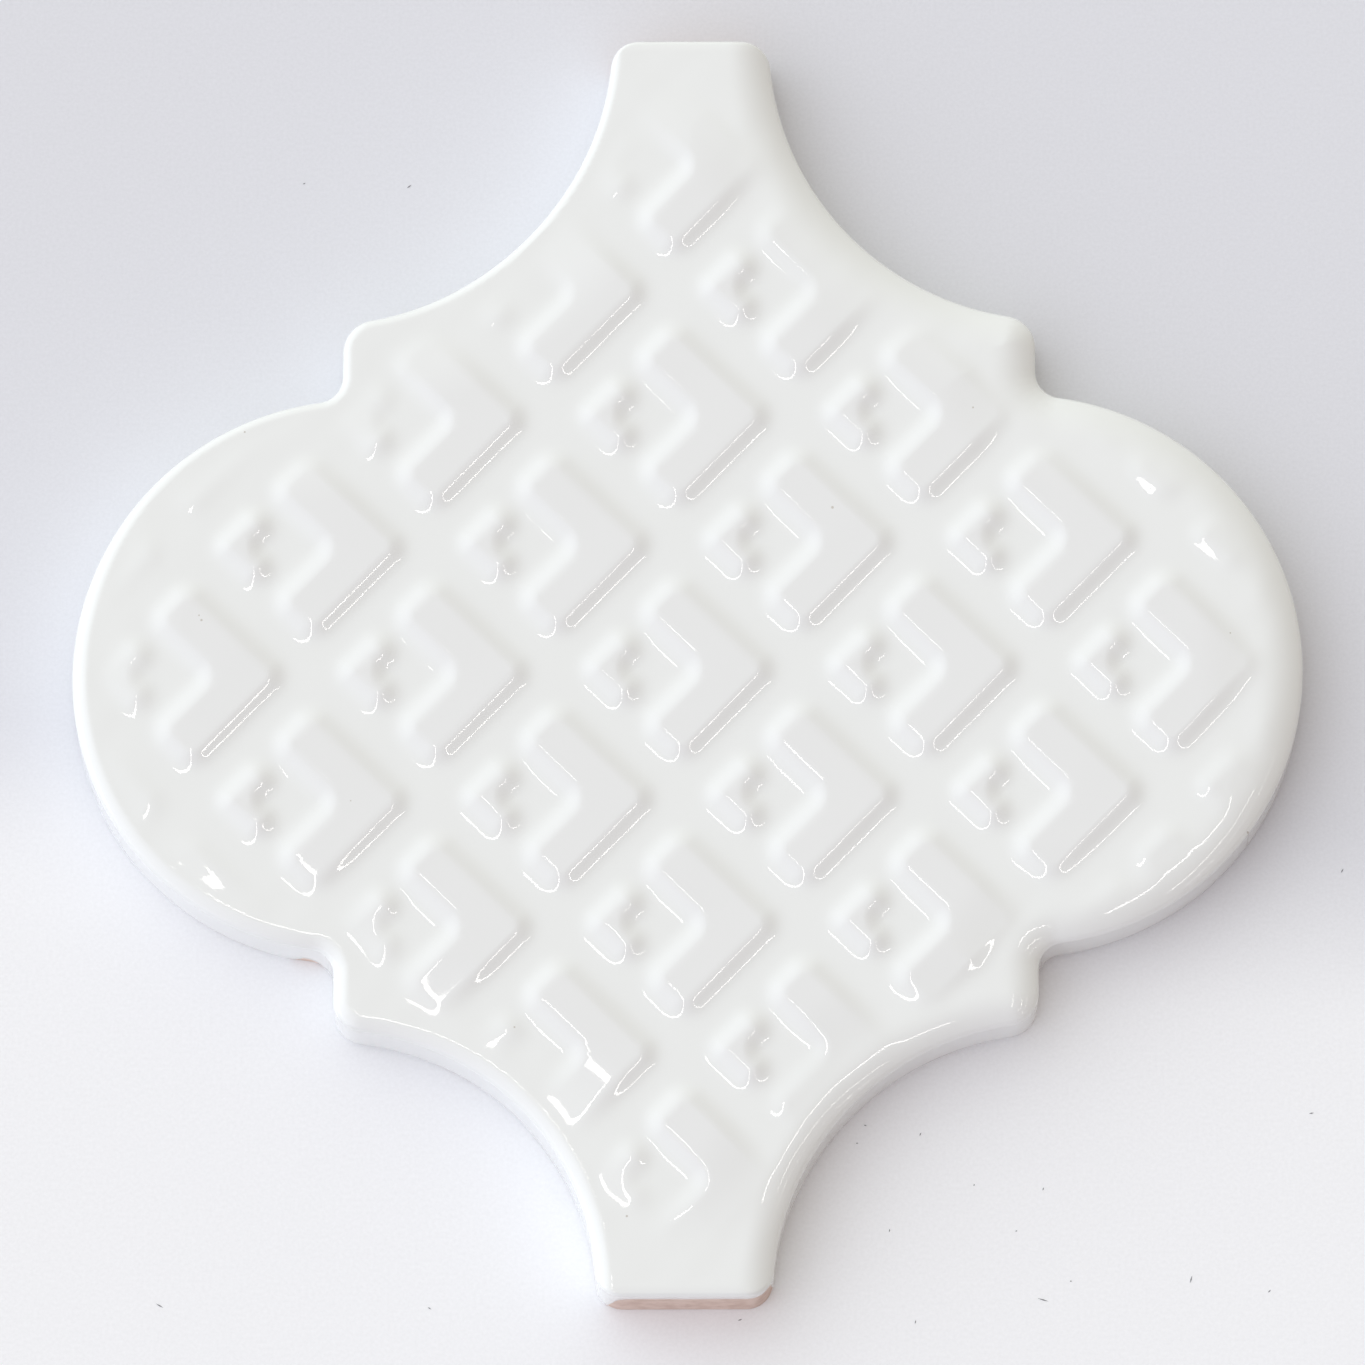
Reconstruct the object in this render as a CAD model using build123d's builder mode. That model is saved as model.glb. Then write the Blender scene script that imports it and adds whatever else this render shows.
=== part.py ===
import os
from math import atan, ceil, degrees

from build123d import *

# Arabesque wall tile, pressed and fired in one piece, face up.
# Millimetres. Origin in the middle of the back, +X to the right lobe, +Y to the far neck, +Z out of the face.

# Outline
tile_width = 150.0  # across the two round lobes
tile_length = 156.4  # between the straight neck ends
neck_width = 20.4  # straight end of each neck, before its corners are rounded
step_height = 9.6  # upright side between the neck arc and the lobe arc
step_outer_radius = 4.0  # where the neck arc meets the step
step_inner_radius = 3.2  # where the step meets the lobe arc
neck_corner_radius = 3.4

# Section
tile_thickness = 10.0  # back to the ground of the face
rim_radius = 2.2  # rounding where the face turns down into the side
foot_radius = 0.5  # soft arris round the back

# Relief on the face: squares standing on a corner, each one a wide chevron and a small one facing it
square_side = 16.2
wide_arm = 6.3
small_side = 6.3
small_arm = 2.8
relief_height = 0.8
flank_width = 1.2  # run of each sloping side, seen from above
pitch_x = 14.9  # half the distance between squares in a row
pitch_y = 15.8  # distance between rows
pattern_x = -0.9  # middle square from the tile's middle, as pressed
pattern_y = -0.4
pattern_turn = 0.7  # degrees that the rows rise to the right
relief_margin = 3.6  # plain band inside the outline

# Keyed back: shallow straight grooves that the adhesive grips
groove_width = 5.0
groove_depth = 0.8
groove_pitch = 12.0
back_border = 7.0  # plain band inside the outline

# Where the arcs of the outline end
neck_half = neck_width / 2
end_y = tile_length / 2
lobe_x = tile_width / 2
step_x = (neck_half + lobe_x) / 2  # midway, so that neighbouring tiles nest
step_low_y = (end_y - step_height) / 2
step_high_y = step_low_y + step_height


def chevron(corner, reach, arm):
    """Corners of an L whose outer corner is at (corner, corner), measured at half its height.

    The foot of its sloping sides stands half a flank outside that line. A negative reach turns it round.
    """
    side = 1 if reach > 0 else -1
    start = corner - side * flank_width / 2
    far = corner + reach + side * flank_width / 2
    inner = corner + side * (arm + flank_width / 2)
    return [(start, start), (far, start), (far, inner), (inner, inner), (inner, far), (start, far)]


# Centres of the squares: every other place on a grid, as far as the face reaches
columns = ceil(lobe_x / pitch_x)
rows = ceil(end_y / pitch_y)
square_centres = [
    (column * pitch_x, row * pitch_y)
    for row in range(-rows, rows + 1)
    for column in range(-columns, columns + 1)
    if (row + column) % 2 == 0
]

# Half a neck arc, the upright step and half a lobe arc, mirrored to all four quarters
with BuildSketch() as outline:
    with BuildLine():
        TangentArc((neck_half, end_y), (step_x, step_high_y), tangent=(0, -1))
        Line((step_x, step_high_y), (step_x, step_low_y))
        TangentArc((lobe_x, 0), (step_x, step_low_y), tangent=(0, 1))
        mirror(about=Plane.XZ)
        mirror(about=Plane.YZ)
        Line((-neck_half, end_y), (neck_half, end_y))
        Line((-neck_half, -end_y), (neck_half, -end_y))
    make_face()
    rows_of_corners = outline.vertices().group_by(Axis.Y)
    fillet(rows_of_corners[0] + rows_of_corners[-1], radius=neck_corner_radius)
    outer_corners = [v for v in outline.vertices() if abs(v.Y) > step_high_y - 0.01 and abs(v.X) > step_x - 0.01]
    fillet(outer_corners, radius=step_outer_radius)
    inner_corners = [v for v in outline.vertices() if abs(abs(v.Y) - step_low_y) < 0.01]
    fillet(inner_corners, radius=step_inner_radius)

# Plain bands: the relief and the grooves stop short of the outline
with BuildSketch(Plane.XY.offset(tile_thickness)) as relief_field:
    add(outline.sketch)
    offset(amount=-relief_margin)

with BuildSketch() as groove_field:
    add(outline.sketch)
    offset(amount=-back_border)

with BuildPart() as relief:
    with BuildSketch(Plane.XY.offset(tile_thickness)):
        with Locations(Location((pattern_x, pattern_y, 0), (0, 0, pattern_turn))):
            with Locations(*[Location((x, y, 0), (0, 0, -45)) for x, y in square_centres]):
                Polygon(*chevron(square_side / 2, -square_side, wide_arm), align=None)
                Polygon(*chevron(-square_side / 2, small_side, small_arm), align=None)
    extrude(amount=relief_height, taper=degrees(atan(flank_width / relief_height)))
    extrude(relief_field.sketch, amount=relief_height, mode=Mode.INTERSECT)

with BuildPart() as tile:
    extrude(outline.sketch, amount=tile_thickness)
    fillet(tile.faces().sort_by(Axis.Z)[-1].edges(), radius=rim_radius)
    fillet(tile.faces().sort_by(Axis.Z)[0].edges(), radius=foot_radius)
    add(relief.part)
    with BuildSketch():
        with GridLocations(groove_pitch, 0, 2 * ceil(lobe_x / groove_pitch), 1):
            Rectangle(groove_width, tile_length)
        add(groove_field.sketch, mode=Mode.INTERSECT)
    extrude(amount=groove_depth, mode=Mode.SUBTRACT)

os.makedirs("parts", exist_ok=True)
tile.part.label = "tile"
export_step(tile.part, "parts/tile.step")
print("tile volume, cubic centimetres:", round(tile.part.volume / 1000, 2))
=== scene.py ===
import math

import bpy
import numpy as np
from mathutils import Matrix, Vector, geometry


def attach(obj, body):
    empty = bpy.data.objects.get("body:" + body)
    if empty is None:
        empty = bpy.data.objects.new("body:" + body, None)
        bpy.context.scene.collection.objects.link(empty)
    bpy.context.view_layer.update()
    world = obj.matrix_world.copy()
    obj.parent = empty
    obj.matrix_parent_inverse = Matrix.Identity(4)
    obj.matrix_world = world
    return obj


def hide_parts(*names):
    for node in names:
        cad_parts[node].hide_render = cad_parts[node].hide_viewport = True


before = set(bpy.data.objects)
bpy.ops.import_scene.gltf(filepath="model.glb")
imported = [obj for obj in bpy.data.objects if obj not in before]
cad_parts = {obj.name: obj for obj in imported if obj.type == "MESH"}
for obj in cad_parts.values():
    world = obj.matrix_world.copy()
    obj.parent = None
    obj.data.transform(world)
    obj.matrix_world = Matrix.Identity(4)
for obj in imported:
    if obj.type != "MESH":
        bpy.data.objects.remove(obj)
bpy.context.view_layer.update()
print("frame loaded")

mm = 0.001
scene = bpy.context.scene


# "#rrggbb" as written on a colour picker, turned linear by the sRGB curve
def hexColour(code):
    srgb = np.array([int(code[i:i + 2], 16) / 255 for i in (1, 3, 5)])
    linear = np.where(srgb < 0.04045, srgb / 12.92, ((srgb + 0.055) / 1.055) ** 2.4)
    return (*linear, 1.0)


# adds a node, sets its properties, then joins or fills its inputs
def addNode(tree, kind, inputs={}, **settings):
    new = tree.nodes.new("ShaderNode" + kind)
    for name, value in settings.items():
        setattr(new, name, value)
    for name, value in inputs.items():
        if isinstance(value, bpy.types.NodeSocket):
            tree.links.new(value, new.inputs[name])
        else:
            new.inputs[name].default_value = value
    return new


# a material with an empty node tree
def newMaterial(name):
    material = bpy.data.materials.new(name)
    material.use_nodes = True
    tree = material.node_tree
    tree.nodes.clear()
    return material, tree


# 0 before start, 1 after end, half a cosine wave between
def ease(t, start, end):
    return 0.5 - 0.5 * np.cos(math.pi * np.clip((t - start) / (end - start), 0, 1))


# The tile, in millimetres.  A pair whose name ends in In, Out or Over is where a change starts and ends.
tile = {
    "shape": {
        "width": 150.0,            # across the lobes
        "length": 156.4,           # between the neck ends
        "neck": 20.4,
        "step": 9.6,               # upright side between neck arc and lobe arc
        "stepOuter": 4.0,          # radius where the neck arc meets the step
        "stepInner": 3.2,          # and where the step meets the lobe arc
        "neckCorner": 3.4,
        "thickness": 10.0,
        "spacing": 0.6,            # between points along the rim
        "past": 40.0,              # the side lines run on this far past the neck ends
        "lean": 1.1,               # the left half leans right by this at the far end, left at the near end
        "leanOver": (-8.0, 8.0),   # measured to the left of the middle
        "leftDrop": 1.05,          # the left lobe hangs this much towards the near side
        "rightDrop": 0.3,
        "dropOver": (5.0, 45.0),   # measured outwards from the middle
    },
    "relief": {                    # squares standing on a corner, u to the near right, v to the far right
        "wide": {"corner": (8.2, 7.8), "reach": (16.3, 15.9), "arm": 6.3, "round": 2.1, "notch": 2.0},
        "small": {"corner": (8.1, 8.1), "reach": (6.3, 6.3), "arm": 2.8, "round": 1.4, "notch": 1.7},
        "height": 0.59,
        "rise": 0.0006,            # share by which it grows per millimetre to the right
        "foot": 2.9,               # run of the hollow lower half of a flank, filled by glaze
        "crest": 1.35,             # run of its upper half, where the glaze is thin
        "pitchX": 14.9,
        "pitchY": 15.8,
        "middleX": -0.9,
        "middleY": -0.4,
        "turn": 0.7,               # degrees
        "depthIn": (1.5, 12.5),    # it comes in at this depth inside the outline
        "farOut": (60.0, 74.0),    # and fades out in each neck, this far from the middle
        "nearOut": (60.0, 74.0),
    },
    "edge": {
        "westRun": 1.9,            # the face bends down towards the left sides over this width
        "westBend": 0.7,           # above 1 the bend is gentle at first and quicker near the side
        "farLess": 0.8,            # narrower by this on the far half
        "farOver": (5.0, 30.0),
        "eastRun": 6.0,            # the same towards the right sides
        "eastBend": 1.75,
        "nearLess": 1.3,           # narrower by this on the near half
        "nearOver": (0.0, 40.0),
        "eastOver": (-10.0, 10.0),     # where the left sides' bend turns into the right sides' one
        "sideSlope": 0.88,         # how steep it gets at the sides
        "endRun": 1.4,             # the same towards the neck ends
        "endSlope": 0.3,
        "endBend": 1.0,
        "corner": 0.5,             # tight rounding between that bend and the wall
    },
    "waves": {                     # height of each wave, its length along x and y, phase in radians
        "slow": [                  # slow unevenness of the glaze
            (0.012, 31.0, 47.0, 0.4),
            (0.008, -19.0, 23.0, 2.1),
            (0.004, 13.0, -17.0, 4.4),
            (0.002, 9.5, 11.0, 1.3),
        ],
        "slowIn": (0.3, 5.0),      # depths inside the outline, as rimIn and rimOut are
        "rim": [                   # where the glaze ran towards the rim
            (0.010, 9.5, 15.0, 1.0),
            (0.007, -7.5, 9.0, 3.0),
            (0.003, 5.6, -6.7, 0.5),
        ],
        "rimIn": (0.3, 3.0),
        "rimOut": (4.0, 11.0),
    },
    "mesh": {
        "fine": 0.335,             # between points on the flanks of the relief
        "gridLean": 0.001,         # so that the grid's squares are all cut along the same diagonal
        "rimBand": 2.6,            # fine points all over, this close to the outline
        "probe": 0.45,             # a flank is where the height changes by more than bump over this distance
        "bump": 0.035,
        "gap": 0.6,                # the grid keeps this share of fine inside the first row of the rim
        "skin": 0.03,              # the glazed surface keeps this far inside the plain solid
        "cornerRows": 7,
        "wallRows": 9,
        "footRows": 5,
        "backAlong": 3.0,          # between points along the grooves
    },
    "back": {
        "groove": 5.0,
        "depth": 0.8,
        "pitch": 12.0,
        "border": 7.0,
        "softness": 0.5,
        "foot": 0.5,               # rounding between wall and back
        "clear": 1.3,              # no points of the grid this close to the outline
    },
    "glazeEdge": {                 # heights above the back
        "low": 0.1,                # bare strip round the foot
        "neck": 7.6,               # bare neck ends
        "neckOver": (76.4, 77.4),  # distance from the middle at which the glaze rises to that
        "neckSkew": 0.1,           # that line is turned by this, in radians
        "wander": [                # size of each wave, and its run along x and y in one radian
            (0.22, 3.1, 5.3),
            (0.16, -7.0, 2.3),
            (0.1, 1.1, 1.7),
        ],
        "wanderLow": 0.2,          # share of it round the foot
        "wanderNeck": 0.5,         # and at the neck ends
        "proud": 0.16,             # how far the glaze stands out over the bare body
        "proudOver": (-0.1, 0.5),
        "spots": [(-46.3, -34.6, 2.4, 1.3)],     # x, y, extra height, radius
    },
}


# Points and outward normals along an arc: centre + radius (cos a, sin a), a going evenly from start to end
def arc(centre, radius, start, end, hollow):
    a = np.linspace(start, end, 400)[:, None]
    out = np.hstack([np.cos(a), np.sin(a)])
    return np.array(centre) + radius * out, -out if hollow else out


# Points and outward normals along a straight side
def side(start, end, normal):
    t = np.linspace(0, 1, 200)[:, None]
    normals = np.repeat([normal], len(t), axis=0).astype(float)
    return np.array(start) * (1 - t) + np.array(end) * t, normals


# Right far quarter of the outline, from the middle of the neck end to the tip of the lobe.
# Every fillet's centre is its own radius away from both sides that it joins.
# With sidesOnly the neck end is left out, and the hollow arc runs on straight past it.
def quarterOutline(sidesOnly):
    s = tile["shape"]
    neck, endY, lobeX = s["neck"] / 2, s["length"] / 2, s["width"] / 2
    stepX = (neck + lobeX) / 2
    lowY = (endY - s["step"]) / 2
    run = stepX - neck
    radius = (run ** 2 + lowY ** 2) / (2 * run)      # same for the hollow arc and the lobe
    r1, r2, r3 = s["stepOuter"], s["stepInner"], s["neckCorner"]
    hollow = np.array([neck + radius, endY])
    lobe = np.array([lobeX - radius, 0.0])
    corner = np.array([hollow[0] - math.sqrt((radius + r3) ** 2 - r3 ** 2), endY - r3])
    outer = np.array([stepX - r1, endY - math.sqrt((radius + r1) ** 2 - (stepX - r1 - hollow[0]) ** 2)])
    inner = np.array([stepX + r2, math.sqrt((radius + r2) ** 2 - (stepX + r2 - lobe[0]) ** 2)])
    toCorner = math.atan2(*(corner - hollow)[::-1]) % (2 * math.pi)
    toOuter = math.atan2(*(outer - hollow)[::-1]) % (2 * math.pi)
    toInner = math.atan2(*(inner - lobe)[::-1])
    if sidesOnly:
        pieces = [
            side((neck, endY + s["past"]), (neck, endY), (1, 0)),
            arc(hollow, radius, math.pi, toOuter, True),
        ]
    else:
        pieces = [
            side((0, endY), (corner[0], endY), (0, 1)),
            arc(corner, r3, math.pi / 2, toCorner - math.pi, False),
            arc(hollow, radius, toCorner, toOuter, True),
        ]
    pieces += [
        arc(outer, r1, toOuter - math.pi, 0, False),
        side((stepX, outer[1]), (stepX, inner[1]), (1, 0)),
        arc(inner, r2, math.pi, toInner + math.pi, True),
        arc(lobe, radius, toInner, 0, False),
    ]
    return np.vstack([p for p, n in pieces]), np.vstack([n for p, n in pieces])


# The fired tile is a little out of true.
# On the left x moves by lean y / half the length, and each lobe moves by its drop in y.
def outOfTrue(p):
    s = tile["shape"]
    x, y = p[:, 0], p[:, 1]
    moveX = s["lean"] * y / (s["length"] / 2) * ease(-x, *s["leanOver"])
    moveY = -s["leftDrop"] * ease(-x, *s["dropOver"]) - s["rightDrop"] * ease(x, *s["dropOver"])
    return p + np.stack([moveX, moveY], axis=1)


# Whole outline, anticlockwise, at an even spacing along its length.
# A normal turns as the short piece of line across it does when it moves.
def wholeOutline(sidesOnly=False):
    p, n = quarterOutline(sidesOnly)
    quarters = [(p, n, 1, 1), (p[::-1], n[::-1], -1, 1), (p, n, -1, -1), (p[::-1], n[::-1], 1, -1)]
    quarters = [(q[::-1] * (sx, sy), m[::-1] * (sx, sy)) for q, m, sx, sy in quarters]
    p = np.vstack([q for q, m in quarters])
    n = np.vstack([m for q, m in quarters])
    along = np.concatenate([[0], np.cumsum(np.linalg.norm(np.diff(p, axis=0), axis=1))])
    t = np.linspace(0, along[-1], round(along[-1] / tile["shape"]["spacing"]), endpoint=False)
    points = np.stack([np.interp(t, along, p[:, k]) for k in (0, 1)], axis=1)
    normals = np.stack([np.interp(t, along, n[:, k]) for k in (0, 1)], axis=1)
    short = 0.01 * np.stack([-normals[:, 1], normals[:, 0]], axis=1)
    short = outOfTrue(points + short) - outOfTrue(points - short)
    normals = np.stack([short[:, 1], -short[:, 0]], axis=1)
    size = np.linalg.norm(normals, axis=1).clip(1e-9)     # the sides alone have none midway past a neck end
    return outOfTrue(points), normals / size[:, None]


rimPoints, rimNormals = wholeOutline()
sidePoints, sideNormals = wholeOutline(sidesOnly=True)


# Distance from each point to a line round the tile, and the outward normal there.
# It is the gap to the nearest point of the line, along that point's normal, a batch at a time.
def depthInside(x, y, points, normals):
    batch = 4000
    nearest = np.empty(len(x), int)
    for start in range(0, len(x), batch):
        px = x[start:start + batch, None]
        py = y[start:start + batch, None]
        away = (px - points[:, 0]) ** 2 + (py - points[:, 1]) ** 2
        nearest[start:start + batch] = away.argmin(axis=1)
    out = normals[nearest]
    gap = points[nearest] - np.stack([x, y], axis=1)
    return (gap * out).sum(axis=1), out


# Height up a flank, 0 to 1, t measured inwards from its middle.  With x for the share of the run that lies
# between t and the middle, its slope is (1 - x)^3 (1 + 3x) over the foot and 1 - x^2 over the crest: a long
# soft foot and a short round crest.
def flank(t, foot, crest):
    m = np.clip(1 + t / foot, 0, 1)
    x = np.clip(t / crest, 0, 1)
    rise = foot * (m ** 4 - 0.6 * m ** 5) + crest * (x - x ** 3 / 3)
    return rise / (0.4 * foot + crest * 2 / 3)


# Distance outside the region where a and b are both negative, with its corner rounded.
# Beyond the round's centre it is the distance from that centre less the radius.
def roundBoth(a, b, radius):
    beyond = np.hypot(np.maximum(a + radius, 0), np.maximum(b + radius, 0))
    return np.minimum(np.maximum(a, b), -radius) + beyond


# the same where a or b is negative: the corner is a hollow one
def roundEither(a, b, radius):
    return -roundBoth(-a, -b, radius)


# Height of an L: the flank's height over the distance from its outline, a box less the box of its notch
def chevron(u, v, c):
    (cornerU, cornerV), (reachU, reachV) = c["corner"], c["reach"]
    outsideU = abs(u - cornerU + reachU / 2) - reachU / 2
    outsideV = abs(v - cornerV + reachV / 2) - reachV / 2
    box = roundBoth(outsideU, outsideV, c["round"])
    arms = roundEither(cornerU - c["arm"] - u, cornerV - c["arm"] - v, c["notch"])
    return flank(-roundBoth(box, arms, c["round"]), tile["relief"]["foot"], tile["relief"]["crest"])


# Nearest square's own coordinates: the rows are turned straight, then the nearer of the two places in the
# staggered grid is taken away, then u and v are the diagonals
def squareCoordinates(x, y):
    r = tile["relief"]
    a = math.radians(r["turn"])
    x, y = x - r["middleX"], y - r["middleY"]
    x, y = x * math.cos(a) + y * math.sin(a), y * math.cos(a) - x * math.sin(a)
    across, along = 2 * r["pitchX"], 2 * r["pitchY"]
    column, row = x / across, y / along
    even = np.stack([np.round(column), np.round(row)])
    odd = np.stack([np.round(column - 0.5) + 0.5, np.round(row - 0.5) + 0.5])
    far = [abs(x - c * across) / across + abs(y - w * along) / along for c, w in (even, odd)]
    column, row = np.where(far[0] < far[1], even, odd)
    x, y = x - column * across, y - row * along
    return (x - y) / math.sqrt(2), (x + y) / math.sqrt(2)


# Fall of the face towards a side that is depth away.  Its slope is steep (1 - depth / run)^bend.
def bendDown(depth, run, steep, bend):
    return steep * run / (bend + 1) * np.clip(1 - depth / run, 0, None) ** (bend + 1)


# Both bends, then a quarter circle into the wall.  Run and bend of the sides change smoothly across the tile.
def edgeFall(x, y, depth, sideDepth):
    e = tile["edge"]
    east = ease(x, *e["eastOver"])
    westRun = e["westRun"] - e["farLess"] * ease(y, *e["farOver"])
    eastRun = e["eastRun"] - e["nearLess"] * ease(-y, *e["nearOver"])
    run = westRun + (eastRun - westRun) * east
    bend = e["westBend"] + (e["eastBend"] - e["westBend"]) * east
    towardsSide = bendDown(sideDepth, run, e["sideSlope"], bend)
    endDepth = tile["shape"]["length"] / 2 - abs(y)
    towardsEnd = bendDown(endDepth, e["endRun"], e["endSlope"], e["endBend"])
    t = np.clip(1 - depth / e["corner"], 0, 1)
    return towardsSide + towardsEnd + e["corner"] * (1 - np.sqrt(1 - t ** 2))


# Sum of sine waves
def ripple(x, y, parts):
    return sum(size * np.sin(2 * math.pi * (x / lx + y / ly) + phase) for size, lx, ly, phase in parts)


# Height of the face above the back: body, less the fall at the edge, plus the relief and the glaze's waves
def faceHeight(x, y, depth, sideDepth):
    r, w = tile["relief"], tile["waves"]
    u, v = squareCoordinates(x, y)
    raised = chevron(u, v, r["wide"]) + chevron(-u, -v, r["small"])
    shown = ease(depth, *r["depthIn"]) * (1 - ease(y, *r["farOut"])) * (1 - ease(-y, *r["nearOut"]))
    shown = shown * (1 + r["rise"] * x)
    fall = edgeFall(x, y, depth, sideDepth)
    nearRim = ease(depth, *w["rimIn"]) * (1 - ease(depth, *w["rimOut"]))
    wave = ripple(x, y, w["slow"]) * ease(depth, *w["slowIn"]) + ripple(x, y, w["rim"]) * nearRim
    ground = tile["shape"]["thickness"] - tile["mesh"]["skin"]
    return ground - fall + r["height"] * shown * raised + wave


print("shape worked out,", len(rimPoints), "points round the rim")


# Triangles over scattered points inside a closed ring
def fillRing(ring, x, y):
    corners = [Vector(p) for p in np.vstack([ring, np.stack([x, y], axis=1)]).tolist()]
    loop = [(k, (k + 1) % len(ring)) for k in range(len(ring))]
    _, _, faces, origin, _, _ = geometry.delaunay_2d_cdt(corners, loop, [], 1, 1e-6)
    order = np.array([o[0] for o in origin])
    return order[np.array(faces)]


# Where the relief bends or slopes, taken as if it were far from any rim
def onFlank(x, y):
    probe = tile["mesh"]["probe"]
    deep = np.full(len(x), 20.0)
    steps = ((0, 0), (1, 0), (0, 1), (-1, 0), (0, -1))
    around = [faceHeight(x + probe * i, y + probe * j, deep, deep) for i, j in steps]
    return np.ptp(around, axis=0) > tile["mesh"]["bump"]


# Square grid along the arms of the chevrons: every point of it on the flanks and near the rim, every second
# one elsewhere
def facePoints():
    m, s, r = tile["mesh"], tile["shape"], tile["relief"]
    step = m["fine"]
    reach = round(s["length"] * 0.75 / step)         # past half a diagonal of the tile, as the grid is turned
    i, j = [a.ravel() for a in np.meshgrid(np.arange(-reach, reach + 1), np.arange(-reach, reach + 1))]
    a = math.radians(45 + r["turn"])
    u, v = step * (i + m["gridLean"] * j), step * j
    x = r["middleX"] + u * math.cos(a) - v * math.sin(a)
    y = r["middleY"] + u * math.sin(a) + v * math.cos(a)
    near = (abs(x) < s["width"] / 2) & (abs(y) < s["length"] / 2)
    i, j, x, y = i[near], j[near], x[near], y[near]
    depth, _ = depthInside(x, y, rimPoints, rimNormals)
    keep = depth > tile["edge"]["corner"] + step * m["gap"]
    i, j, x, y, depth = i[keep], j[keep], x[keep], y[keep], depth[keep]
    keep = ((i % 2 == 0) & (j % 2 == 0)) | onFlank(x, y) | (depth < m["rimBand"])
    return x[keep], y[keep]


# Height of the glaze's lower edge above the back, all round the wall: low at the sides and high at the neck
# ends, plus sine waves, plus a bell-shaped rise at each spot
def glazeLine(x, y):
    g = tile["glazeEdge"]
    end = ease(abs(y) - g["neckSkew"] * np.sign(y) * x, *g["neckOver"])
    wander = sum(size * np.sin(x / runX + y / runY) for size, runX, runY in g["wander"])
    wander = wander * (g["wanderLow"] + (g["wanderNeck"] - g["wanderLow"]) * end)
    line = g["low"] + (g["neck"] - g["low"]) * end + wander
    for px, py, high, wide in g["spots"]:
        line = line + high * np.exp(-((x - px) ** 2 + (y - py) ** 2) / wide ** 2)
    return line


# Rim and wall: a profile carried round the outline, row by row from the face down to the back.
# A quarter circle, depth = corner (1 - sin a), then the wall, then a quarter circle at the foot.
def wallRows():
    m, foot = tile["mesh"], tile["back"]["foot"]
    around = len(rimPoints)
    a = np.linspace(0, math.pi / 2, m["cornerRows"])[:, None]
    depth = np.repeat(tile["edge"]["corner"] * (1 - np.sin(a)), around, axis=1)
    x = rimPoints[:, 0] - (depth + m["skin"]) * rimNormals[:, 0]
    y = rimPoints[:, 1] - (depth + m["skin"]) * rimNormals[:, 1]
    sideDepth, _ = depthInside(x.ravel(), y.ravel(), sidePoints, sideNormals)
    z = faceHeight(x.ravel(), y.ravel(), depth.ravel(), sideDepth).reshape(depth.shape)
    down = np.linspace(0, 1, m["wallRows"])[1:, None]
    wallZ = z[-1] * (1 - down) + foot * down
    b = np.linspace(0, math.pi / 2, m["footRows"])[1:, None]
    lowZ = np.vstack([wallZ, np.repeat(foot * (1 - np.sin(b)), around, axis=1)])
    lowIn = np.vstack([wallZ * 0, np.repeat(foot * (1 - np.cos(b)), around, axis=1)])
    bare = ease(glazeLine(x[-1], y[-1]) - lowZ, *tile["glazeEdge"]["proudOver"])
    inset = np.maximum(lowIn, tile["glazeEdge"]["proud"] * bare) + m["skin"]
    x = np.vstack([x, rimPoints[:, 0] - inset * rimNormals[:, 0]])
    y = np.vstack([y, rimPoints[:, 1] - inset * rimNormals[:, 1]])
    return x, y, np.vstack([z, lowZ])


# Normals of the rows: across a step round the rim and a step down the profile
def rowNormals(x, y, z):
    p = np.stack([x, y, z], axis=2)
    n = np.cross(np.gradient(p, axis=0), np.roll(p, -1, axis=1) - np.roll(p, 1, axis=1))
    return n / np.linalg.norm(n, axis=2, keepdims=True)


# Normals of the face, from the height a small step either way along x and along y.  A step lessens a depth by
# its own share along the outward normal.
def faceNormals(x, y):
    depth, out = depthInside(x, y, rimPoints, rimNormals)
    sideDepth, sideOut = depthInside(x, y, sidePoints, sideNormals)
    small = 0.02
    slopes = []
    for step in ((small, 0), (0, small)):
        lessDepth, lessSide = out @ step, sideOut @ step
        ahead = faceHeight(x + step[0], y + step[1], depth - lessDepth, sideDepth - lessSide)
        behind = faceHeight(x - step[0], y - step[1], depth + lessDepth, sideDepth + lessSide)
        slopes.append((ahead - behind) / (2 * small))
    n = np.stack([-slopes[0], -slopes[1], np.ones(len(x))], axis=1)
    return n / np.linalg.norm(n, axis=1)[:, None]


# Depth of the keyed back: straight grooves with soft sides, ending inside the border
def backHeight(x, y):
    b = tile["back"]
    soft = b["softness"]
    fromGroove = abs((x + b["pitch"] / 2) % b["pitch"] - b["pitch"] / 2)
    depth, _ = depthInside(x, y, rimPoints, rimNormals)
    across = ease(b["groove"] / 2 - fromGroove, -soft, soft)
    return b["depth"] * across * ease(depth - b["border"], -soft, soft)


# Points of the back: rows along the grooves' soft sides, and three lines round the border where they end
def backPoints():
    b, s = tile["back"], tile["shape"]
    half, soft = b["groove"] / 2, b["softness"]
    grooves = math.ceil(s["width"] / 2 / b["pitch"])
    middles = np.arange(-grooves, grooves + 1)[:, None] * b["pitch"]
    across = [-half - soft, -half, -half + soft, 0, half - soft, half, half + soft, b["pitch"] / 2]
    along = np.arange(-s["length"] / 2, s["length"] / 2, tile["mesh"]["backAlong"])
    x, y = [a.ravel() for a in np.meshgrid((middles + across).ravel(), along)]
    depth, _ = depthInside(x, y, rimPoints, rimNormals)
    keep = depth > b["clear"]
    x, y = x[keep], y[keep]
    for inset in (b["border"] - soft, b["border"], b["border"] + soft):
        ring = (rimPoints - inset * rimNormals)[::2]
        depth, _ = depthInside(ring[:, 0], ring[:, 1], rimPoints, rimNormals)
        ring = ring[depth > inset - 0.01]            # not where the line has crossed itself in a corner
        x, y = np.append(x, ring[:, 0]), np.append(y, ring[:, 1])
    return x, y


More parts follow.
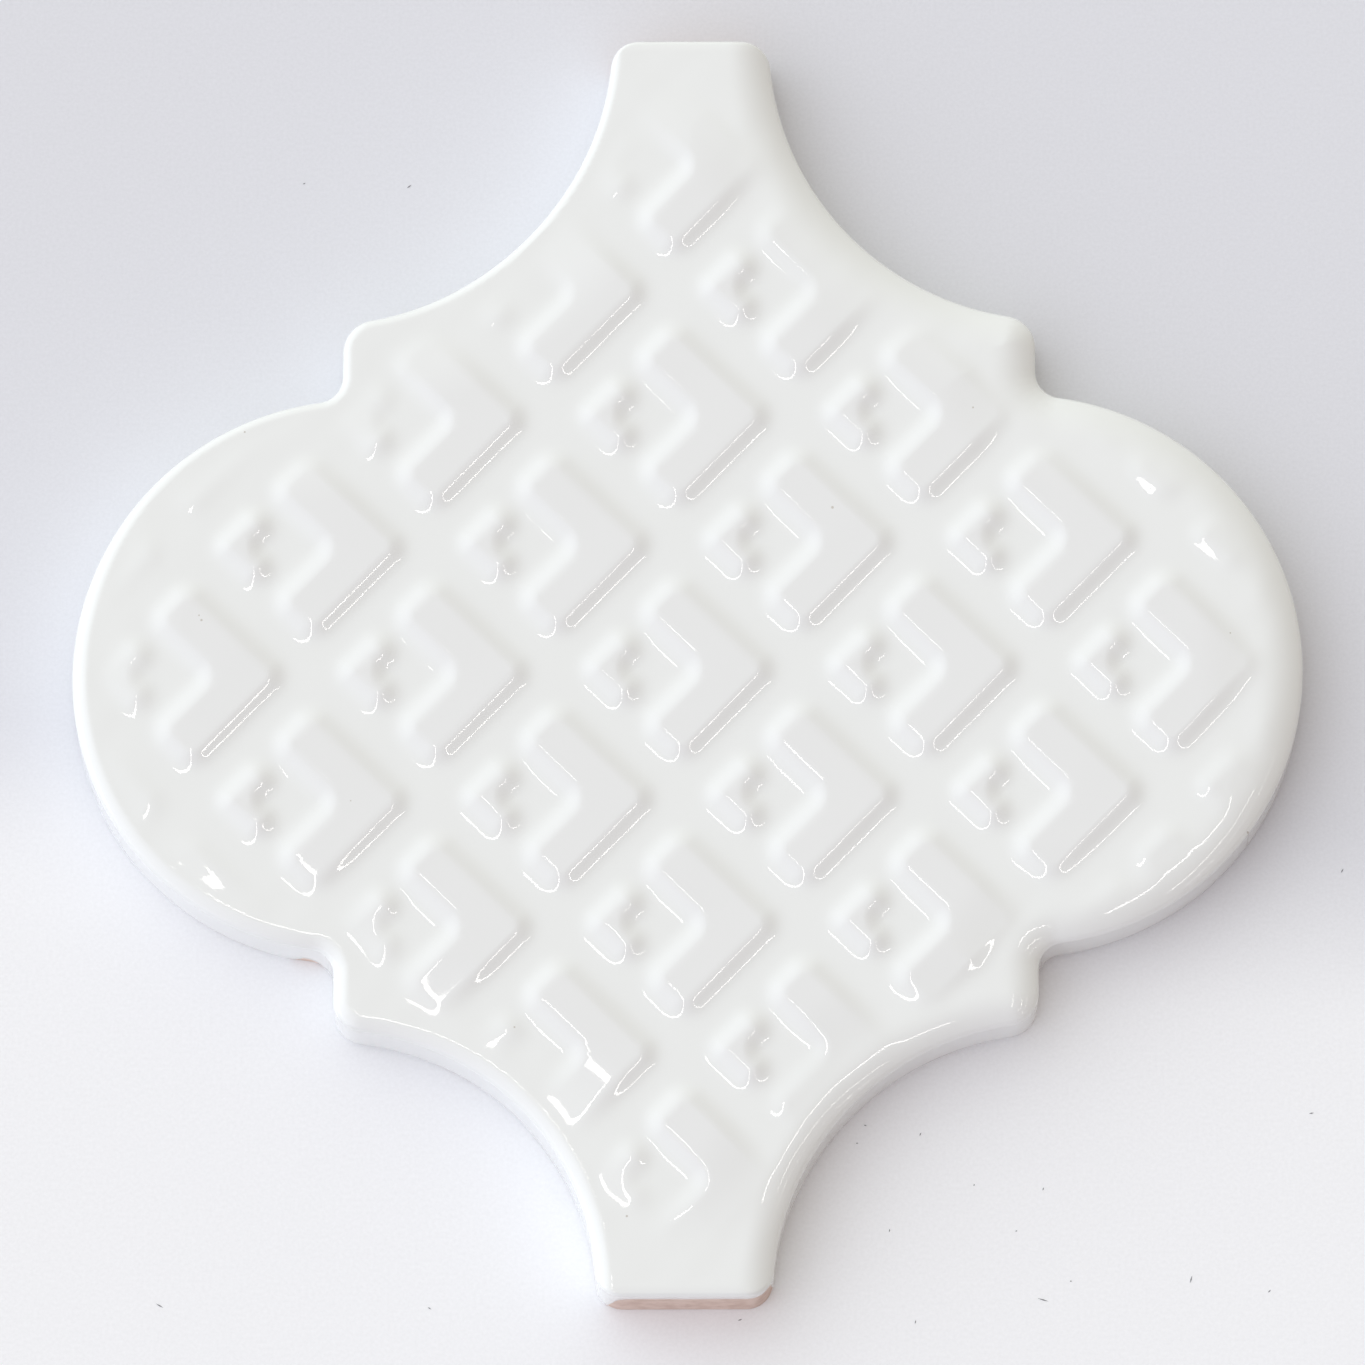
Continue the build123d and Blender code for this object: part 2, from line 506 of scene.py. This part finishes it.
# One closed surface: rows of the rim and wall, the face inside the first row, the back inside the last
def makeTile():
    rowX, rowY, rowZ = wallRows()
    rows, around = rowX.shape
    faceX, faceY = facePoints()
    depth, _ = depthInside(faceX, faceY, rimPoints, rimNormals)
    sideDepth, _ = depthInside(faceX, faceY, sidePoints, sideNormals)
    faceZ = faceHeight(faceX, faceY, depth, sideDepth)
    backX, backY = backPoints()
    x = np.concatenate([rowX.ravel(), faceX, backX])
    y = np.concatenate([rowY.ravel(), faceY, backY])
    z = np.concatenate([rowZ.ravel(), faceZ, backHeight(backX, backY)])
    points = np.stack([x, y, z], axis=1)

    faceStart = rows * around
    backStart = faceStart + len(faceX)
    onFace = np.concatenate([np.arange(around), np.arange(faceStart, backStart)])
    onBack = np.concatenate([np.arange(faceStart - around, faceStart), np.arange(backStart, len(points))])
    top = onFace[fillRing(np.stack([rowX[0], rowY[0]], axis=1), faceX, faceY)]
    bottom = onBack[fillRing(np.stack([rowX[-1], rowY[-1]], axis=1), backX, backY)][:, ::-1]
    k, i = np.meshgrid(np.arange(rows - 1) * around, np.arange(around), indexing="ij")
    nextI = (i + 1) % around
    quads = np.stack([k + i, k + around + i, k + around + nextI, k + nextI], axis=2).reshape(-1, 4)

    data = bpy.data.meshes.new("glazed_tile")
    data.from_pydata((points * mm).tolist(), [], top.tolist() + quads.tolist() + bottom.tolist())
    data.shade_smooth()
    normals = np.zeros_like(points)                  # zero keeps the mesh's own normal, as on the back
    normals[:faceStart] = rowNormals(rowX, rowY, rowZ).reshape(-1, 3)
    normals[onFace] = faceNormals(x[onFace], y[onFace])
    data.normals_split_custom_set_from_vertices(normals.tolist())
    bare = data.attributes.new("bare", "FLOAT", "POINT")
    bare.data.foreach_set("value", (glazeLine(x, y) - z).astype(np.float32))
    piece = bpy.data.objects.new("glazed_tile", data)
    scene.collection.objects.link(piece)
    print("tile:", len(points), "points,", len(top) + len(bottom) + 2 * len(quads), "triangles")
    return piece


tileObject = makeTile()
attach(tileObject, "root")
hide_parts("tile")


glazeLook = {                  # millimetres
    "glaze": "#edefed",
    "thin": "#e9eae9",         # on the raised squares
    "thinFrom": 10.0,          # height above the back
    "thinTo": 10.7,
    "edgeFrom": -0.05,         # the bare body comes in between these two, measured down from the glaze's edge
    "edgeTo": 0.1,
    "body": "#dbc5b9",
    "bodyDark": "#cbb2a5",
    "grain": 5 / 3,            # size of the body's mottling
    "speck": "#cac6be",
    "speckSoft": 1.8,          # a speck has faded out at its radius times this
    "ior": 1.52,
    "roughness": 0.035,
    "bodyRoughness": 0.8,
    "specks": [                # iron specks in the glaze: x, y and radius
        (-59.2, 5.5, 0.10), (17.7, 19.4, 0.12), (34.9, 31.9, 0.08), (66.1, 3.7, 0.07),
        (-41.0, -17.0, 0.06), (-54.0, 29.1, 0.08), (-7.5, -68.3, 0.10), (68.1, -20.7, 0.10),
        (-59.5, 6.1, 0.07), (-21.1, -45.0, 0.08),
    ],
}


# 1 within each speck and 0 outside its soft edge, from the distance to its middle
def speckMask(tree, place, look):
    flat = addNode(tree, "VectorMath", {0: place, 1: (1, 1, 0)}, operation="MULTIPLY").outputs[0]
    mask = 0.0
    for x, y, radius in look["specks"]:
        middle = (x * mm, y * mm, 0)
        away = addNode(tree, "VectorMath", {0: flat, 1: middle}, operation="DISTANCE").outputs["Value"]
        inner, outer = radius * mm, radius * mm * look["speckSoft"]
        near = {"Value": away, "From Min": inner, "From Max": outer, "To Min": 1, "To Max": 0}
        near = addNode(tree, "MapRange", near).outputs["Result"]
        mask = addNode(tree, "Math", {0: near, 1: mask}, operation="MAXIMUM").outputs[0]
    return mask


# Gloss white tin glaze fired on a pressed pinkish clay body: clear white where it lies thick, a little darker
# and pinker on the raised squares where it is thin.  Below its edge the bare body shows matt and mottled.
def glazeMaterial(look):
    material, tree = newMaterial("gloss_white_glaze")
    place = addNode(tree, "TexCoord").outputs["Object"]

    height = addNode(tree, "SeparateXYZ", {0: place}).outputs["Z"]
    thin = {"Value": height, "From Min": look["thinFrom"] * mm, "From Max": look["thinTo"] * mm}
    thin = addNode(tree, "MapRange", thin).outputs["Result"]
    glaze = {"Factor": thin, "A": hexColour(look["glaze"]), "B": hexColour(look["thin"])}
    glaze = addNode(tree, "Mix", glaze, data_type="RGBA").outputs["Result"]
    glaze = {"Factor": speckMask(tree, place, look), "A": glaze, "B": hexColour(look["speck"])}
    glaze = addNode(tree, "Mix", glaze, data_type="RGBA").outputs["Result"]

    clay = {"Vector": place, "Scale": 1 / (look["grain"] * mm), "Detail": 4.0}
    clay = addNode(tree, "TexNoise", clay).outputs["Fac"]
    clay = addNode(tree, "MapRange", {"Value": clay, "From Min": 0.4, "From Max": 0.65}).outputs["Result"]
    clay = {"Factor": clay, "A": hexColour(look["body"]), "B": hexColour(look["bodyDark"])}
    clay = addNode(tree, "Mix", clay, data_type="RGBA").outputs["Result"]

    bare = addNode(tree, "Attribute", attribute_name="bare").outputs["Fac"]      # millimetres below the edge
    bare = {"Value": bare, "From Min": look["edgeFrom"], "From Max": look["edgeTo"]}
    bare = addNode(tree, "MapRange", bare).outputs["Result"]
    colour = addNode(tree, "Mix", {"Factor": bare, "A": glaze, "B": clay}, data_type="RGBA").outputs["Result"]
    rough = {"Value": bare, "To Min": look["roughness"], "To Max": look["bodyRoughness"]}
    rough = addNode(tree, "MapRange", rough).outputs["Result"]
    shader = addNode(tree, "BsdfPrincipled", {"Base Color": colour, "Roughness": rough, "IOR": look["ior"]})
    addNode(tree, "OutputMaterial", {"Surface": shader.outputs["BSDF"]})
    return material


tileObject.data.materials.append(glazeMaterial(glazeLook))

paperLook = {                  # millimetres
    "size": 3000.0,
    "near": "#f5f6f8",         # the sheet brightens below a soft line
    "far": "#dfe0e5",
    "lineY": -23.0,
    "lineTilt": 0.08,          # it falls by this per millimetre to the right
    "lineWidth": 26.0,
    "wander": 30.0,            # how far it bends up and down
    "wanderSize": 250 / 3,     # about this far from one bend to the next
    "mottle": 0.03,            # share by which the fibres darken and lighten the sheet
    "fibres": 5 / 12,          # size of that mottle, coarser than real fibres, which are too fine to show
    "roughness": 0.75,
    "specular": 0.3,
}


# Matt white paper of pressed fibres, which mottle it faintly.  The sheet is not quite flat, so its near part
# catches more light: that part starts where y + tilt x + wander (noise - 1/2) falls below the line.
def paperMaterial(look):
    material, tree = newMaterial("matt_white_paper")
    place = addNode(tree, "TexCoord").outputs["Object"]

    split = addNode(tree, "SeparateXYZ", {0: place}).outputs
    tilted = {0: split["X"], 1: look["lineTilt"], 2: split["Y"]}
    tilted = addNode(tree, "Math", tilted, operation="MULTIPLY_ADD").outputs[0]
    bend = {"Vector": place, "Scale": 1 / (look["wanderSize"] * mm), "Detail": 2.0}
    bend = addNode(tree, "TexNoise", bend).outputs["Fac"]
    bent = {0: bend, 1: look["wander"] * mm, 2: tilted}
    bent = addNode(tree, "Math", bent, operation="MULTIPLY_ADD").outputs[0]
    middle = (look["lineY"] + look["wander"] / 2) * mm
    half = look["lineWidth"] * mm / 2
    near = {"Value": bent, "From Min": middle + half, "From Max": middle - half}
    near = addNode(tree, "MapRange", near, interpolation_type="SMOOTHSTEP").outputs["Result"]
    colour = {"Factor": near, "A": hexColour(look["far"]), "B": hexColour(look["near"])}
    colour = addNode(tree, "Mix", colour, data_type="RGBA").outputs["Result"]

    mottle = {"Vector": place, "Scale": 1 / (look["fibres"] * mm), "Detail": 2.0, "Roughness": 0.6}
    mottle = addNode(tree, "TexNoise", mottle).outputs["Fac"]
    mottle = {"Value": mottle, "From Min": 0.25, "From Max": 0.75}
    mottle.update({"To Min": 1 - look["mottle"], "To Max": 1 + look["mottle"]})
    mottle = addNode(tree, "MapRange", mottle).outputs["Result"]
    colour = addNode(tree, "VectorMath", {0: colour, 1: mottle}, operation="MULTIPLY").outputs[0]

    finish = {"Base Color": colour, "Roughness": look["roughness"], "Specular IOR Level": look["specular"]}
    shader = addNode(tree, "BsdfPrincipled", finish)
    addNode(tree, "OutputMaterial", {"Surface": shader.outputs["BSDF"]})
    return material


# a flat square sheet with the tile at its middle
def paperFloor(look):
    half = look["size"] * mm / 2
    corners = [(-half, -half, 0), (half, -half, 0), (half, half, 0), (-half, half, 0)]
    data = bpy.data.meshes.new("paper_floor")
    data.from_pydata(corners, [], [(0, 1, 2, 3)])
    floor = bpy.data.objects.new("paper_floor", data)
    scene.collection.objects.link(floor)
    data.materials.append(paperMaterial(look))
    return floor


flecks = {                     # dark fibres on the paper, millimetres
    "colour": "#77777c",
    "roughness": 0.9,
    "halfWidth": 0.07,
    "above": 0.05,             # height over the paper
    "places": [                # x, y, length, direction in degrees
        (-34.1, 62.2, 0.7, 35), (-64.3, -77.4, 1.1, -30), (-31.5, -77.8, 0.5, -35), (61.0, -74.4, 1.0, 75),
        (6.2, -79.3, 0.6, 20), (75.8, -53.9, 0.6, 10), (28.2, -56.4, 0.5, 65), (51.0, -32.4, 0.4, 80),
        (79.8, -23.8, 0.6, 60), (-47.0, 62.6, 0.4, 20), (43.0, -76.9, 1.4, -17), (70.5, -75.9, 0.5, 45),
        (21.5, -55.3, 0.4, -20), (20.5, -57.5, 0.3, 0), (34.7, -62.7, 0.3, 70), (24.4, -68.3, 0.4, 80),
        (43.1, -63.2, 0.4, 70), (27.5, -79.6, 0.5, 75), (46.4, -74.6, 0.3, 0), (39.8, -68.4, 0.3, 10),
    ],
}


# Each fleck is a thin flat diamond just above the paper.  Loose dust fibres are matt and show as dark hairs.
def paperFlecks(look):
    x, y, length, turn = np.array(look["places"]).T
    turn = np.radians(turn)
    middle = np.stack([x, y], axis=1)
    along = np.stack([np.cos(turn), np.sin(turn)], axis=1) * length[:, None] / 2
    across = np.stack([-np.sin(turn), np.cos(turn)], axis=1) * look["halfWidth"]
    corners = np.stack([middle - along, middle - across, middle + along, middle + across], axis=1)
    points = np.insert(corners.reshape(-1, 2), 2, look["above"], axis=1) * mm
    data = bpy.data.meshes.new("paper_flecks")
    data.from_pydata(points.tolist(), [], np.arange(len(points)).reshape(-1, 4).tolist())
    made = bpy.data.objects.new("paper_flecks", data)
    scene.collection.objects.link(made)
    material, tree = newMaterial("grey_dust_fibre")
    finish = {"Base Color": hexColour(look["colour"]), "Roughness": look["roughness"]}
    shader = addNode(tree, "BsdfPrincipled", finish)
    addNode(tree, "OutputMaterial", {"Surface": shader.outputs["BSDF"]})
    data.materials.append(material)
    return made


paperFloor(paperLook)
paperFlecks(flecks)
print("materials and paper made")

camera = {                     # metres
    "tilt": 12.0,              # degrees off straight down, towards the near neck
    "distance": 2.5,
    "lens": 539.4,             # millimetres, as the sensor is
    "sensor": 36.0,
    "roll": -0.002,            # radians
    "aim": (-0.00063, -0.00015, 0),
}


# placed at place, looking at aim, then turned about that line of sight
def aimedAt(place, aim, turn=0.0):
    look = (Vector(aim) - Vector(place)).to_track_quat("-Z", "Y").to_matrix().to_4x4()
    return Matrix.Translation(place) @ look @ Matrix.Rotation(turn, 4, "Z")


# the camera is its distance away from its aim, on a line tilted off straight up towards the near neck
def addCamera():
    data = bpy.data.cameras.new("camera")
    data.lens = camera["lens"]
    data.sensor_width = camera["sensor"]
    data.clip_start, data.clip_end = 0.1, 10.0
    made = bpy.data.objects.new("camera", data)
    scene.collection.objects.link(made)
    tilt = math.radians(camera["tilt"])
    aim = Vector(camera["aim"])
    place = aim + camera["distance"] * Vector((0, -math.sin(tilt), math.cos(tilt)))
    made.matrix_world = aimedAt(place, aim, camera["roll"])
    scene.camera = made


# A window to the left and four rows of ceiling tubes.  They show only as reflections in the glaze: the room
# around does the lighting.  A light without an aim looks straight down.
lights = {                     # metres; size is across and along
    "window": {
        "place": (-1.98, 0.28, 0.45), "aim": (0, 0, 0), "size": (1.9, 0.95),
        "radiance": 4.0, "colour": "#eef2ff",
    },
    "tubeA": {"place": (-0.18, -0.44, 2.0), "size": (0.05, 1.4), "radiance": 12.0, "colour": "#fffbf5"},
    "tubeB": {"place": (0.60, -0.46, 2.0), "size": (0.045, 1.1), "radiance": 10.0, "colour": "#fffbf5"},
    "tubeC": {"place": (1.50, -0.90, 2.0), "size": (0.05, 1.4), "radiance": 10.0, "colour": "#fffbf5"},
    "tubeD": {"place": (2.39, -1.20, 2.0), "size": (0.05, 2.2), "radiance": 9.0, "colour": "#fffbf5"},
}


# a rectangle of light; power is radiance times its area times pi
def addLight(name, light):
    across, along = light["size"]
    below = (*light["place"][:2], 0)
    data = bpy.data.lights.new(name, "AREA")
    data.shape = "RECTANGLE"
    data.size = across
    data.size_y = along
    data.energy = light["radiance"] * across * along * math.pi
    data.color = hexColour(light["colour"])[:3]
    made = bpy.data.objects.new(name, data)
    scene.collection.objects.link(made)
    made.matrix_world = aimedAt(light["place"], light.get("aim", below))
    made.visible_diffuse = False


# light from every direction, and how much it grows to the left and to the far side
room = {
    "level": "#faf9fa",
    "west": "#dfe8f4",
    "north": "#929a8b",
}


# The room around: its light is level - west x + north y for a direction (x, y, z), and never below nothing
def addRoom():
    world = bpy.data.worlds.new("room")
    scene.world = world
    world.use_nodes = True
    tree = world.node_tree
    tree.nodes.clear()
    level, west, north = [Vector(hexColour(room[name])[:3]) for name in ("level", "west", "north")]
    direction = addNode(tree, "TexCoord").outputs["Generated"]
    direction = addNode(tree, "SeparateXYZ", {0: direction}).outputs
    light = {0: direction["X"], 1: -west, 2: level}
    light = addNode(tree, "VectorMath", light, operation="MULTIPLY_ADD").outputs[0]
    light = {0: direction["Y"], 1: north, 2: light}
    light = addNode(tree, "VectorMath", light, operation="MULTIPLY_ADD").outputs[0]
    light = addNode(tree, "VectorMath", {0: light, 1: (0, 0, 0)}, operation="MAXIMUM").outputs[0]
    glow = addNode(tree, "Background", {"Color": light})
    addNode(tree, "OutputWorld", {"Surface": glow.outputs["Background"]})


addCamera()
for name, light in lights.items():
    addLight(name, light)
addRoom()
print("camera and lights placed")

scene.view_settings.view_transform = "Standard"
